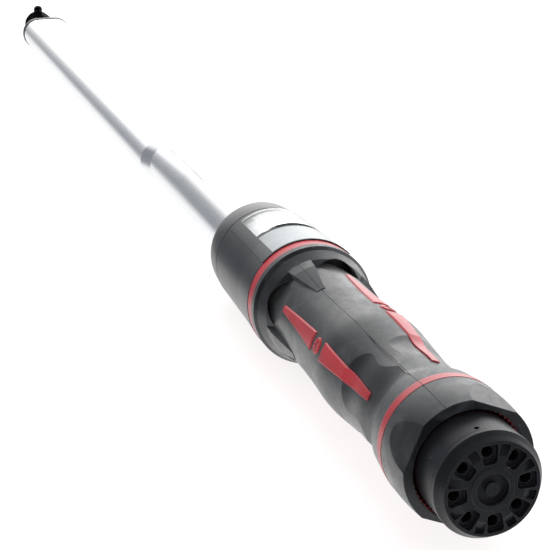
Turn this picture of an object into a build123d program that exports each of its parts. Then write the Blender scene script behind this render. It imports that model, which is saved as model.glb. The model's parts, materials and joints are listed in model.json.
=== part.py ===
from build123d import *
from math import cos, degrees, radians, sin, tan
import os

os.makedirs("parts", exist_ok=True)

# Torque handle, millimetres. X runs along the axis towards the spigot, Z is up and goes
# through the scale window. The origin is the spigot's shoulder, where a head is pushed on.
# Directions round the axis are degrees from +Z, by the right-hand rule about +X.

# Driving sizes of the whole
REACH = 640.0  # knob flange to spigot shoulder
TUBE_R = 11.0
TUBE_WALL = 1.8
OVAL_HALF_WIDTH = 13.3
OVAL_HALF_HEIGHT = 8.3
SPIGOT_R = 8.0
SPIGOT_LENGTH = 25.5
FIRST_PANEL = 22.5  # direction of the first grip panel
PANELS = 4

# Clearances
FIT = 0.05  # pieces pushed together
RUN = 0.08  # turning and sliding fits
FREE = 0.3  # pieces that pass each other


def station(from_knob):
    """X of a place measured forward from the knob's flange."""
    return from_knob - REACH


def across(x):
    """Plane across the axis: its local X is up and its angles are directions round the axis."""
    return Plane(origin=(x, 0, 0), x_dir=(0, 0, 1), z_dir=(1, 0, 0))


def facing(x, direction, height=0.0):
    """Plane that faces outward in one direction: its local X runs along the axis."""
    outward = Vector(0, -sin(radians(direction)), cos(radians(direction)))
    return Plane(origin=Vector(x, 0, 0) + outward * height, x_dir=(1, 0, 0), z_dir=outward)


def turned(points, start=0.0, arc=360.0):
    """Solid turned about the axis from an outline of (x, radius) points."""
    plane = Plane(origin=(0, 0, 0), x_dir=(1, 0, 0), z_dir=(0, -cos(radians(start)), -sin(radians(start))))
    with BuildPart() as piece:
        with BuildSketch(plane):
            with BuildLine():
                Polyline(*points, close=True)
            make_face()
        revolve(axis=Axis.X, revolution_arc=arc)
    return piece.part


def outline(*points):
    """Flat shape with straight sides, for patterns."""
    with BuildSketch(mode=Mode.PRIVATE) as flat:
        with BuildLine():
            Polyline(*points, close=True)
        make_face()
    return flat.sketch


def ring(rear, front, inner, outer):
    """Plain ring between two X places."""
    return turned([(rear, inner), (front, inner), (front, outer), (rear, outer)])


def radial_pin(x, direction, foot, head, radius):
    """Round pin that points outward from the axis."""
    with BuildPart() as pin:
        with BuildSketch(facing(x, direction, foot)):
            Circle(radius)
        extrude(amount=head - foot)
    return pin.part


def round_copies(shape, copies):
    """Copies of one shape set evenly round the axis."""
    return [shape.rotate(Axis.X, 360.0 * k / copies) for k in range(copies)]


# Places along the axis
LOCK_TRAVEL = 4.5
LOAD_TRAVEL = 14.0
TUBE_REAR = station(20.0)
NOSE_RIM = 4.0
TUBE_FRONT = -NOSE_RIM
MOUTH = station(12.6)
SKIRT_FRONT = station(22.0)
REAR_RING = station(29.9)
REAR_RING_WIDTH = 3.8
GUARD_FRONT = station(154.3)
FRONT_RING_WIDTH = 4.7
HOUSING_REAR = GUARD_FRONT + FRONT_RING_WIDTH
HOUSING_FRONT = station(207.0)
CAVITY_REAR = HOUSING_REAR + 2.4
SLEEVE_END_PLAY = 0.5
SLEEVE_REAR = CAVITY_REAR + SLEEVE_END_PLAY
SLEEVE_FRONT = SLEEVE_REAR + 40.0
CAVITY_FRONT = SLEEVE_FRONT + LOAD_TRAVEL + SLEEVE_END_PLAY
COLLAR_END_WALL = 4.1
COLLAR_FRONT = CAVITY_FRONT + COLLAR_END_WALL

# Tube: round at the handle, pressed to an oval from halfway to the nose
PRESS_START = station(298.0)
SHOULDER_START = station(343.0)
SHOULDER_HALF_WIDTH = 11.15
SHOULDER_HALF_HEIGHT = 8.66
SHOULDER_END = station(352.0)
TUBE_BORE_R = TUBE_R - TUBE_WALL
OVAL_BORE_HALF_WIDTH = OVAL_HALF_WIDTH - TUBE_WALL
OVAL_BORE_HALF_HEIGHT = OVAL_HALF_HEIGHT - TUBE_WALL

BUSH_PIN_X = TUBE_REAR + 14.0
BUSH_PIN_R = 1.5
INDEX_PIN_X = SLEEVE_FRONT - 6.0
INDEX_PIN_R = 2.0
HOUSING_PIN_X = CAVITY_FRONT + COLLAR_END_WALL / 2
HOUSING_PIN_R = 1.0
PIVOT_X = -20.0
PIVOT_R = 3.0


def oval(half_width, half_height):
    """Flat oval across the axis, long side level."""
    return SlotOverall(2 * half_width, 2 * half_height, rotation=90)


def tube_form(inset, rear, front):
    """Outside of the pressed tube, or its bore when the wall is taken off."""
    press = [
        (PRESS_START, TUBE_R + 0.01, TUBE_R),
        (SHOULDER_START, SHOULDER_HALF_WIDTH, SHOULDER_HALF_HEIGHT),
        (SHOULDER_END, OVAL_HALF_WIDTH, OVAL_HALF_HEIGHT),
    ]
    with BuildPart() as form:
        with BuildSketch(across(rear)):
            Circle(TUBE_R - inset)
        extrude(amount=PRESS_START - rear)
        for ends in zip(press, press[1:]):
            for x, half_width, half_height in ends:
                with BuildSketch(across(x)):
                    oval(half_width - inset, half_height - inset)
            loft()
        with BuildSketch(across(SHOULDER_END)):
            oval(OVAL_HALF_WIDTH - inset, OVAL_HALF_HEIGHT - inset)
        extrude(amount=front - SHOULDER_END)
    return form.part


SLOT_END_PLAY = 0.4

with BuildPart() as tube:
    add(tube_form(0.0, TUBE_REAR, TUBE_FRONT))
    add(tube_form(TUBE_WALL, TUBE_REAR - 1, TUBE_FRONT + 1), mode=Mode.SUBTRACT)
    for side in (90, -90):
        # slot for the index pin
        with BuildSketch(facing(INDEX_PIN_X + LOAD_TRAVEL / 2, side)):
            SlotOverall(LOAD_TRAVEL + 2 * (INDEX_PIN_R + SLOT_END_PLAY), 2 * (INDEX_PIN_R + RUN))
        extrude(amount=2 * TUBE_R, mode=Mode.SUBTRACT)
        with BuildSketch(facing(BUSH_PIN_X, side)):
            Circle(BUSH_PIN_R + FIT)
        extrude(amount=2 * TUBE_R, mode=Mode.SUBTRACT)
    with BuildSketch(facing(HOUSING_PIN_X, 180)):
        Circle(HOUSING_PIN_R + FIT)
    extrude(amount=2 * TUBE_R, mode=Mode.SUBTRACT)
    with BuildSketch(facing(PIVOT_X, 0)):
        Circle(PIVOT_R + FIT)
    extrude(amount=2 * TUBE_R, both=True, mode=Mode.SUBTRACT)

# Bush in the tube's rear end, with lock teeth on its flange
BUSH_FLANGE = 4.0
BUSH_LENGTH = 26.0
BUSH_REAR = TUBE_REAR - BUSH_FLANGE
BUSH_FRONT = TUBE_REAR + BUSH_LENGTH
JOURNAL_R = 5.0
LOCK_TEETH = 36
LOCK_ROOT_R = 11.6
LOCK_TIP_R = 12.5
LOCK_TOOTH = 0.95
LOCK_PLAY = 0.15
BUSH_PIN_FOOT = 6.2
BUSH_PIN_HEAD = TUBE_R - 0.2


def lock_tooth(inner, outer, width_in, width_out):
    """Outline of one straight lock tooth, pointing up in the sketch's X."""
    return outline(
        (inner, -width_in / 2),
        (outer, -width_out / 2),
        (outer, width_out / 2),
        (inner, width_in / 2),
    )


with BuildPart() as screw_bush:
    with BuildSketch(across(BUSH_REAR)):
        Circle(LOCK_ROOT_R)
        with PolarLocations(0, LOCK_TEETH):
            add(lock_tooth(LOCK_ROOT_R - 0.3, LOCK_TIP_R, 1.3 * LOCK_TOOTH, 0.7 * LOCK_TOOTH))
    extrude(amount=BUSH_FLANGE)
    with BuildSketch(across(TUBE_REAR)):
        Circle(TUBE_BORE_R - FIT)
    extrude(amount=BUSH_LENGTH)
    with BuildSketch(across(BUSH_REAR)):
        Circle(JOURNAL_R + RUN)
    extrude(amount=BUSH_FLANGE + BUSH_LENGTH, mode=Mode.SUBTRACT)
    for side in (90, -90):
        add(radial_pin(BUSH_PIN_X, side, BUSH_PIN_FOOT, TUBE_R, BUSH_PIN_R + FIT), mode=Mode.SUBTRACT)

with BuildPart() as bush_pins:
    for side in (90, -90):
        add(radial_pin(BUSH_PIN_X, side, BUSH_PIN_FOOT, BUSH_PIN_HEAD, BUSH_PIN_R))

# Adjuster screw: hexagon for the knob, journal, thrust collar and plain thread diameter
HEX_ACROSS = 8.6
HEX_REAR = station(3.8)
CIRCLIP_GAP = 0.2
CIRCLIP_WIDTH = 1.5
CIRCLIP_FRONT = BUSH_REAR - CIRCLIP_GAP
CIRCLIP_REAR = CIRCLIP_FRONT - CIRCLIP_WIDTH
CIRCLIP_GROOVE_R = 4.2
WASHER = 1.2
WASHER_R = 8.9
BALL_R = 1.9
BALLS = 10
BALL_CIRCLE = 7.0
THRUST_FRONT = BUSH_FRONT + 2 * WASHER + 2 * (BALL_R + FIT)
THRUST_COLLAR = 4.5
THREAD_R = 5.0
SCREW_FRONT = INDEX_PIN_X + LOAD_TRAVEL + 18.5
DETENT_X = station(6.5)
DETENT_WIRE_R = 0.5
DETENT_RING_R = 4.75

with BuildPart() as adjuster_screw:
    with BuildSketch(across(HEX_REAR)):
        RegularPolygon(HEX_ACROSS / 2, 6, major_radius=False)
    extrude(amount=CIRCLIP_REAR - HEX_REAR)
    chamfer(adjuster_screw.faces().sort_by(Axis.X)[0].edges(), 0.4)
    add(ring(CIRCLIP_REAR - 0.01, CIRCLIP_FRONT, 0, CIRCLIP_GROOVE_R))
    add(ring(CIRCLIP_FRONT, THRUST_FRONT, 0, JOURNAL_R))
    add(ring(THRUST_FRONT, THRUST_FRONT + THRUST_COLLAR, 0, WASHER_R))
    add(ring(THRUST_FRONT + THRUST_COLLAR, SCREW_FRONT, 0, THREAD_R))
    chamfer(adjuster_screw.faces().sort_by(Axis.X)[-1].edges(), 0.8)
    detent_half = DETENT_WIRE_R + FIT
    groove_foot = DETENT_RING_R - DETENT_WIRE_R - FIT
    add(ring(DETENT_X - detent_half, DETENT_X + detent_half, groove_foot, 2 * HEX_ACROSS), mode=Mode.SUBTRACT)

with BuildPart() as detent_ring:
    with BuildSketch(Plane.XZ):
        with Locations((DETENT_X, DETENT_RING_R)):
            Circle(DETENT_WIRE_R)
    revolve(axis=Axis.X, revolution_arc=310)

with BuildPart() as retaining_ring:
    with BuildSketch(across(CIRCLIP_REAR)):
        Circle(7.2)
        Circle(CIRCLIP_GROOVE_R + FIT, mode=Mode.SUBTRACT)
        with Locations((7.0, 0)):
            Rectangle(9.0, 4.2, mode=Mode.SUBTRACT)
    extrude(amount=CIRCLIP_WIDTH)

with BuildPart() as bush_washer:
    add(ring(BUSH_FRONT, BUSH_FRONT + WASHER, JOURNAL_R + FREE, WASHER_R))

with BuildPart() as screw_washer:
    add(ring(THRUST_FRONT - WASHER, THRUST_FRONT, JOURNAL_R + FIT, WASHER_R))

with BuildPart() as thrust_balls:
    with BuildSketch(Plane.XZ):
        with Locations((BUSH_FRONT + WASHER + BALL_R + FIT, BALL_CIRCLE)):
            Circle(BALL_R)
            Rectangle(4 * BALL_R, 2 * BALL_R, align=(Align.CENTER, Align.MAX), mode=Mode.SUBTRACT)
    revolve(axis=Axis(origin=(0, 0, BALL_CIRCLE), direction=(1, 0, 0)))
    one_ball = thrust_balls.part
    for copy in round_copies(one_ball, BALLS)[1:]:
        add(copy)

# Nut that sets the spring's load, with the pins that carry the scale
NUT_LENGTH = 22.0
NUT_REAR = INDEX_PIN_X - 9.0
NUT_FRONT = NUT_REAR + NUT_LENGTH
SEAT = 2.8
SPRING_REAR = NUT_FRONT + SEAT
INDEX_PIN_FOOT = 6.4
SLEEVE_R = 16.6
SLEEVE_WALL = 1.4
SLEEVE_HUB = 10.0

with BuildPart() as load_nut:
    add(ring(NUT_REAR, NUT_FRONT, THREAD_R + RUN, TUBE_BORE_R - RUN))
    for side in (90, -90):
        add(radial_pin(INDEX_PIN_X, side, INDEX_PIN_FOOT, TUBE_R, INDEX_PIN_R + FIT), mode=Mode.SUBTRACT)

with BuildPart() as index_pins:
    for side in (90, -90):
        add(radial_pin(INDEX_PIN_X, side, INDEX_PIN_FOOT, SLEEVE_R - 0.6, INDEX_PIN_R))

with BuildPart() as spring_seat:
    add(ring(NUT_FRONT, SPRING_REAR, THREAD_R + FREE, TUBE_BORE_R - FREE))

with BuildPart() as scale_sleeve:
    hub_rear = INDEX_PIN_X - SLEEVE_HUB / 2
    hub_front = INDEX_PIN_X + SLEEVE_HUB / 2
    shell_r = SLEEVE_R - SLEEVE_WALL
    add(
        turned(
            [
                (SLEEVE_REAR, shell_r),
                (hub_rear, shell_r),
                (hub_rear, TUBE_R + FREE),
                (hub_front, TUBE_R + FREE),
                (hub_front, shell_r),
                (SLEEVE_FRONT, shell_r),
                (SLEEVE_FRONT, SLEEVE_R),
                (SLEEVE_REAR, SLEEVE_R),
            ]
        )
    )
    for side in (90, -90):
        add(radial_pin(INDEX_PIN_X, side, TUBE_R, SLEEVE_R - 0.6, INDEX_PIN_R + FIT), mode=Mode.SUBTRACT)

# Plunger, with a head under the spring and a notch for the roller
TAIL_LENGTH = 90.0
SEAT_SLOPE = 21.0
ROLLER_R = 5.0
ROLLER_HALF = 5.4
ROLLER_X = PIVOT_X - TAIL_LENGTH - (ROLLER_R + FREE) / cos(radians(SEAT_SLOPE))
HEAD_REAR = station(288.0)
HEAD = 6.0
HEAD_R = TUBE_BORE_R - FREE
ROD_R = 5.0
GUIDE_LENGTH = 32.0
GUIDE_FRONT = ROLLER_X - 1.2

with BuildPart() as plunger:
    add(ring(HEAD_REAR, HEAD_REAR + HEAD, 0, HEAD_R))
    add(ring(HEAD_REAR + HEAD, GUIDE_FRONT - GUIDE_LENGTH, 0, ROD_R))
    with BuildSketch(across(GUIDE_FRONT - GUIDE_LENGTH)):
        oval(OVAL_BORE_HALF_WIDTH - 0.2, OVAL_BORE_HALF_HEIGHT - 0.2)
    extrude(amount=GUIDE_LENGTH)
    with BuildSketch(Plane.XY):
        with Locations((ROLLER_X, 0)):
            Circle(ROLLER_R + FIT)
    extrude(amount=2 * OVAL_HALF_HEIGHT, both=True, mode=Mode.SUBTRACT)

with BuildPart() as toggle_roller:
    with BuildSketch(Plane.XY):
        with Locations((ROLLER_X, 0)):
            Circle(ROLLER_R)
    extrude(amount=ROLLER_HALF, both=True)

SPRING_WIRE_WIDE = 3.0
SPRING_WIRE_DEEP = 3.6
SPRING_TURNS = 12
SPRING_R = TUBE_BORE_R - 0.55 - SPRING_WIRE_WIDE / 2

with BuildPart() as main_spring:
    spring_length = HEAD_REAR - SPRING_REAR
    spring_pitch = spring_length / SPRING_TURNS
    with BuildLine() as coil:
        Helix(spring_pitch, spring_length, SPRING_R, center=(SPRING_REAR, 0, 0), direction=(1, 0, 0))
    outward = (coil.line @ 0) - Vector(SPRING_REAR, 0, 0)
    with BuildSketch(Plane(origin=coil.line @ 0, x_dir=outward, z_dir=coil.line % 0)):
        Rectangle(SPRING_WIRE_WIDE, SPRING_WIRE_DEEP)
    sweep(path=coil.line, is_frenet=True)
    # ends ground flat
    add(ring(SPRING_REAR, HEAD_REAR, 0, TUBE_BORE_R), mode=Mode.INTERSECT)

# Lever: spigot in front, neck through the nose, tail with a seat for the roller
NECK_HALF_WIDTH = 9.3
NECK_HALF_HEIGHT = OVAL_BORE_HALF_HEIGHT - 0.2
NECK_REAR = PIVOT_X - 9.0
TAIL_START = PIVOT_X - 24.0
TAIL_HALF_WIDTH = 6.0
TAIL_HALF_HEIGHT = 5.5
TAIL_ROUND = 2.8
TAIL_END = PIVOT_X - TAIL_LENGTH
SWING = 2.5
DOME = 2.5
CATCH_X = 21.5
CATCH_R = 2.4
CATCH_ROUND = 2.0
CATCH_FOOT_R = 3.1
CATCH_STEP = 3.6
CATCH_FOOT = 0.6
CATCH_PROUD = 3.2
CATCH_TRAVEL = CATCH_PROUD + 0.2
CATCH_TOP = SPIGOT_R + CATCH_PROUD
CATCH_POCKET = CATCH_FOOT - CATCH_TRAVEL - 3.4
SPIGOT_LAND = CATCH_X - CATCH_R - RUN - 0.22  # full diameter, up to the catch pin
LEAD_RELIEF = 0.2  # the end that carries the catch pin is turned smaller, so a head starts easily

with BuildPart() as lever:
    with BuildSketch(across(0)):
        Circle(SPIGOT_R - LEAD_RELIEF)
    extrude(amount=SPIGOT_LENGTH)
    fillet(lever.faces().sort_by(Axis.X)[-1].edges(), DOME)
    with BuildSketch(across(0)):
        Circle(SPIGOT_R)
    extrude(amount=SPIGOT_LAND)
    with BuildSketch(across(NECK_REAR)):
        oval(NECK_HALF_WIDTH, NECK_HALF_HEIGHT)
    extrude(amount=-NECK_REAR)
    for x, half_width in ((TAIL_START, TAIL_HALF_WIDTH), (NECK_REAR + 1.0, NECK_HALF_WIDTH - 1.2)):
        with BuildSketch(across(x)):
            RectangleRounded(2 * TAIL_HALF_HEIGHT, 2 * half_width, TAIL_ROUND)
    loft()
    seat_depth = TAIL_HALF_WIDTH * tan(radians(SEAT_SLOPE))
    with BuildSketch(across(TAIL_END - seat_depth)):
        RectangleRounded(2 * TAIL_HALF_HEIGHT, 2 * TAIL_HALF_WIDTH, TAIL_ROUND)
    extrude(amount=TAIL_START - TAIL_END + seat_depth)
    with BuildSketch(Plane.XY):
        with BuildLine():
            Polyline(
                (TAIL_END, 0),
                (TAIL_END - 2 * seat_depth, 2 * TAIL_HALF_WIDTH),
                (TAIL_END - 2 * seat_depth, -2 * TAIL_HALF_WIDTH),
                close=True,
            )
        make_face()
    extrude(amount=2 * TAIL_HALF_HEIGHT, both=True, mode=Mode.SUBTRACT)
    with BuildSketch(facing(PIVOT_X, 0)):
        Circle(PIVOT_R + RUN)
    extrude(amount=2 * OVAL_HALF_HEIGHT, both=True, mode=Mode.SUBTRACT)
    # pocket for the catch pin, closed below
    with BuildSketch(facing(CATCH_X, 0, CATCH_POCKET)):
        Circle(CATCH_FOOT_R + RUN)
    extrude(amount=CATCH_STEP + RUN - CATCH_POCKET, mode=Mode.SUBTRACT)
    with BuildSketch(facing(CATCH_X, 0, CATCH_STEP)):
        Circle(CATCH_R + RUN)
    extrude(amount=SPIGOT_R, mode=Mode.SUBTRACT)

with BuildPart() as catch_pin:
    with BuildSketch(facing(CATCH_X, 0, CATCH_FOOT)):
        Circle(CATCH_FOOT_R)
    extrude(amount=CATCH_STEP - CATCH_FOOT)
    with BuildSketch(facing(CATCH_X, 0, CATCH_STEP)):
        Circle(CATCH_R)
    extrude(amount=CATCH_TOP - CATCH_STEP)
    fillet(catch_pin.faces().sort_by(Axis.Z)[-1].edges(), CATCH_ROUND)

with BuildPart() as catch_spring:
    catch_room = CATCH_FOOT - CATCH_POCKET
    catch_wire_r = 0.35
    with BuildLine(facing(CATCH_X, 0, CATCH_POCKET + catch_wire_r)) as catch_coil:
        Helix((catch_room - 2 * catch_wire_r) / 4, catch_room - 2 * catch_wire_r, 2.3)
    with BuildSketch(Plane(origin=catch_coil.line @ 0, z_dir=catch_coil.line % 0)):
        RegularPolygon(catch_wire_r, 6)
    sweep(path=catch_coil.line, is_frenet=True)

with BuildPart() as pivot_pin:
    with BuildSketch(facing(PIVOT_X, 0)):
        Circle(PIVOT_R)
    extrude(amount=OVAL_HALF_HEIGHT, both=True)

# Nose collar: closes the oval tube and leaves the neck room to swing
NOSE_PLUG = 6.0
NECK_SWEEP = NECK_HALF_WIDTH - PIVOT_X * tan(radians(SWING)) + 0.25

with BuildPart() as nose_collar:
    with BuildSketch(across(TUBE_FRONT)):
        oval(OVAL_HALF_WIDTH + 0.3, OVAL_HALF_HEIGHT + 0.3)
    extrude(amount=NOSE_RIM - FREE)
    fillet(nose_collar.faces().sort_by(Axis.X)[-1].edges(), 1.2)
    with BuildSketch(across(TUBE_FRONT - NOSE_PLUG)):
        oval(OVAL_BORE_HALF_WIDTH - FIT, OVAL_BORE_HALF_HEIGHT - FIT)
    extrude(amount=NOSE_PLUG)
    with BuildSketch(across(TUBE_FRONT - NOSE_PLUG)):
        oval(NECK_SWEEP, NECK_HALF_HEIGHT + 0.1)
    extrude(amount=NOSE_PLUG + NOSE_RIM, mode=Mode.SUBTRACT)

# Soft grip's outside, drawn with one panel straight up and turned into place
MOUTH_R = 17.35
COLLAR_EDGE = (MOUTH, 20.3)
COLLAR_CROWN = (station(22.0), 20.8)
COLLAR_SHOULDER = (station(34.0), 20.2)
COLLAR_SLOPE = (station(46.0), 18.6)
WAIST = (station(54.5), 17.5)
BELLY = (station(86.0), 18.75)
NECK = (station(129.0), 17.5)
HOLLOW_FLOOR = GUARD_FRONT - 4.1
COLLAR_FLAT = 18.85
COLLAR_FLAT_END = (station(25.5), 20.8)
GUARD_R = 22.0
GUARD_FOOT = (station(141.5), 17.4)
GUARD_LIP = (station(144.8), 19.4)
GUARD_EDGE = (station(150.2), 21.0)
GUARD_EDGE_DEPTH = 2.7
HOLLOW_REAR = station(138.0)
HOLLOW_R = 10.4
HOLLOW_CENTRE = 9.2
PANEL_BEND = 23.8
PANEL_CUT_FOOT = 8.0
REAR_PANEL = [
    (station(40.0), 20.4),
    (station(43.5), 17.0),
    (station(47.5), 16.15),
    (station(60.0), 16.45),
    (station(75.0), 18.6),
]
FRONT_PANEL = [(station(130.0), 17.85), (HOLLOW_FLOOR, 16.3)]
WEB = [(station(123.5), 17.7, 1.5), (station(139.7), 19.6, 4.0), (station(146.5), 19.6, 4.6)]
CORE_R = 14.2


def panel_cutter(floor, proud):
    """What lies outside one scooped panel, above a floor line of (x, height) points."""
    with BuildPart() as below:
        for x, height in floor:
            with BuildSketch(across(x)):
                with Locations((height + proud - PANEL_BEND, 0)):
                    Circle(PANEL_BEND)
        loft()
    with BuildPart() as cutter:
        with BuildSketch(across(floor[0][0])):
            with Locations((PANEL_CUT_FOOT, 0)):
                Rectangle(GUARD_R, 1.6 * GUARD_R, align=(Align.MIN, Align.CENTER))
        extrude(amount=floor[-1][0] - floor[0][0])
        add(below.part, mode=Mode.SUBTRACT)
    return cutter.part


def grip_web():
    """One web between two hollows, standing straight up."""
    with BuildPart() as web:
        with BuildSketch(facing(0, 0, CORE_R)):
            with BuildLine():
                Polyline(
                    *[(x, -half) for x, radius, half in WEB],
                    *[(x, half) for x, radius, half in reversed(WEB)],
                    close=True,
                )
            make_face()
        extrude(amount=GUARD_R - CORE_R)
        top = [(x, radius) for x, radius, half in WEB]
        add(turned([(WEB[0][0], 0), *top, (WEB[-1][0], 0)]), mode=Mode.INTERSECT)
    return web.part


def hollow_cutter():
    """One crescent hollow in the guard's rear face, between its lip and the panel."""
    with BuildPart() as cutter:
        with BuildSketch(across(HOLLOW_REAR)):
            with Locations((HOLLOW_CENTRE, 0)):
                Circle(HOLLOW_R)
            Circle(NECK[1] + 0.02, mode=Mode.SUBTRACT)
        extrude(amount=HOLLOW_FLOOR - HOLLOW_REAR)
        add(panel_cutter(FRONT_PANEL, 0.0))
        with BuildSketch(across(HOLLOW_REAR)):
            with Locations((HOLLOW_CENTRE, 0)):
                Circle(HOLLOW_R)
        extrude(amount=HOLLOW_FLOOR - HOLLOW_REAR, mode=Mode.INTERSECT)
    return cutter.part


def collar_flat():
    """What lies outside one flat of the rear collar."""
    with BuildPart() as flat:
        with BuildSketch(Plane.XZ):
            with BuildLine():
                Polyline(
                    (MOUTH - 1, COLLAR_FLAT - 0.17),
                    (MOUTH, COLLAR_FLAT),
                    COLLAR_FLAT_END,
                    (COLLAR_FLAT_END[0], 2 * COLLAR_FLAT),
                    (MOUTH - 1, 2 * COLLAR_FLAT),
                    close=True,
                )
            make_face()
        extrude(amount=COLLAR_FLAT, both=True)
    return flat.part


def grip_form(proud):
    """Outside of the soft grip, or of a skin that stands proud of it."""
    profile = [COLLAR_EDGE, COLLAR_CROWN, COLLAR_SHOULDER, COLLAR_SLOPE, WAIST, BELLY, NECK]
    raised = [(x, radius + proud) for x, radius in profile]
    front_foot = (HOLLOW_FLOOR, NECK[1] + proud)
    with BuildPart() as form:
        with BuildSketch(Plane.XZ):
            with BuildLine():
                Spline(*raised, tangents=[(1, 0.1), (1, 0)])
                Polyline(raised[-1], front_foot, (HOLLOW_FLOOR, 0), (MOUTH, 0), raised[0])
            make_face()
        revolve(axis=Axis.X)
        for cutter in (panel_cutter(REAR_PANEL, proud), panel_cutter(FRONT_PANEL, proud), collar_flat()):
            for copy in round_copies(cutter, PANELS):
                add(copy, mode=Mode.SUBTRACT)
    return form.part.rotate(Axis.X, FIRST_PANEL)


def guard_form():
    """Guard rim with its webs, hollows cut between them."""
    with BuildPart() as guard:
        add(
            turned(
                [
                    (GUARD_FOOT[0], CORE_R),
                    GUARD_FOOT,
                    GUARD_LIP,
                    GUARD_EDGE,
                    (GUARD_FRONT - GUARD_EDGE_DEPTH, GUARD_R),
                    (GUARD_FRONT, GUARD_R),
                    (GUARD_FRONT, CORE_R),
                ]
            )
        )
        for web in round_copies(grip_web().rotate(Axis.X, 180.0 / PANELS), PANELS):
            add(web)
        for cutter in round_copies(hollow_cutter(), PANELS):
            add(cutter, mode=Mode.SUBTRACT)
    return guard.part.rotate(Axis.X, FIRST_PANEL)


# Red lugs that come up through the soft grip
LUG_FOOT_R = CORE_R - 1.0
LUG_PROUD = 0.45
LUG_BEVEL = 0.4
WEDGE_FRONT = (station(134.3), 1.3)
WEDGE_FRONT_ROOT = (station(102.2), 3.3)
BUTTON_X = station(97.2)
BUTTON_R = 2.95
WEDGE_REAR_ROOT = (station(91.8), 3.4)
WEDGE_REAR = (station(54.4), 1.35)
WEDGE_BITE_R = 5.2
PLUS_LENGTH = 4.4
PLUS_WIDTH = 0.8
PLUS_DEPTH = 0.6


def lug_outlines(grow):
    """Outlines of one set of lugs: two wedges that point apart and a round button."""
    with BuildSketch(facing(0, 0, LUG_FOOT_R)) as outlines:
        for tip, root in ((WEDGE_FRONT, WEDGE_FRONT_ROOT), (WEDGE_REAR, WEDGE_REAR_ROOT)):
            with BuildLine():
                Polyline(
                    (tip[0], -tip[1]),
                    (tip[0], tip[1]),
                    (root[0], root[1]),
                    (root[0], -root[1]),
                    close=True,
                )
            make_face()
        with Locations((BUTTON_X, 0)):
            Circle(WEDGE_BITE_R, mode=Mode.SUBTRACT)
        if grow:
            offset(amount=grow, kind=Kind.INTERSECTION)
        with Locations((BUTTON_X, 0)):
            Circle(BUTTON_R + grow)
    return outlines.sketch


def lug_set(grow, top):
    """One set of lugs as prisms that point straight up."""
    with BuildPart() as lugs:
        add(lug_outlines(grow))
        extrude(amount=top - LUG_FOOT_R)
    return lugs.part


def red_lugs():
    """The lugs of one panel, cut to the height of the grip there and bevelled round the top."""
    skin = grip_form(LUG_PROUD).rotate(Axis.X, -FIRST_PANEL)
    lugs = []
    for lug in lug_set(0.0, GUARD_R).intersect(skin).solids():
        with BuildPart() as bevelled:
            add(lug)
            chamfer(bevelled.faces().sort_by(Axis.Z)[-1].edges(), LUG_BEVEL)
        lugs.append(bevelled.part)
    return lugs


# Bridges of soft grip that pass through the core under the rear ring
BRIDGE_INNER = 17.95
BRIDGE_OUTER = 19.1
BRIDGE_ARC = 30.0
CUP_R = 17.8
CUP_WALL = 1.0
LOCK_RING_REAR = station(14.5)
CUP_REAR = station(23.8)
CUP_FLOOR = SKIRT_FRONT + LOCK_TRAVEL + 1.3
FLANGE_REAR = GUARD_FRONT - 2.6
FLANGE_R = 19.4
RING_PROUD = 0.12


def bridges(clear):
    """Four arcs that join the grip's collar to the rest of it under the rear ring."""
    section = [
        (REAR_RING, BRIDGE_INNER - clear),
        (REAR_RING + REAR_RING_WIDTH, BRIDGE_INNER - clear),
        (REAR_RING + REAR_RING_WIDTH, BRIDGE_OUTER + clear),
        (REAR_RING, BRIDGE_OUTER + clear),
    ]
    wide = BRIDGE_ARC + 2 * degrees(clear / BRIDGE_INNER)
    first = FIRST_PANEL - wide / 2
    return [turned(section, first + 360.0 * k / PANELS, wide) for k in range(PANELS)]


with BuildPart() as handle_core:
    add(
        turned(
            [
                (CUP_REAR, CUP_R - CUP_WALL),
                (CUP_FLOOR, CUP_R - CUP_WALL),
                (CUP_FLOOR, TUBE_R + FIT),
                (CAVITY_REAR, TUBE_R + FIT),
                (CAVITY_REAR, SLEEVE_R + FREE),
                (HOUSING_REAR, SLEEVE_R + FREE),
                (HOUSING_REAR, GUARD_R - RING_PROUD),
                (GUARD_FRONT, GUARD_R - RING_PROUD),
                (GUARD_FRONT, FLANGE_R),
                (FLANGE_REAR, FLANGE_R),
                (FLANGE_REAR, CORE_R),
                (REAR_RING + REAR_RING_WIDTH, CORE_R),
                (REAR_RING + REAR_RING_WIDTH, CUP_R),
                (CUP_REAR, CUP_R),
            ]
        )
    )
    rear_ring = grip_form(RING_PROUD).intersect(ring(REAR_RING, REAR_RING + REAR_RING_WIDTH, CUP_R - 0.2, GUARD_R))
    add(rear_ring)
    for bridge in bridges(FIT):
        add(bridge, mode=Mode.SUBTRACT)
    for lug in red_lugs():
        for copy in round_copies(lug.rotate(Axis.X, FIRST_PANEL), PANELS):
            add(copy)
    # engraved plus on each button
    for k in range(PANELS):
        with BuildSketch(facing(BUTTON_X, FIRST_PANEL + 360.0 * k / PANELS, BELLY[1] + LUG_PROUD - PLUS_DEPTH)):
            Rectangle(PLUS_LENGTH, PLUS_WIDTH)
            Rectangle(PLUS_WIDTH, PLUS_LENGTH)
        extrude(amount=2 * PLUS_DEPTH, mode=Mode.SUBTRACT)

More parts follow.
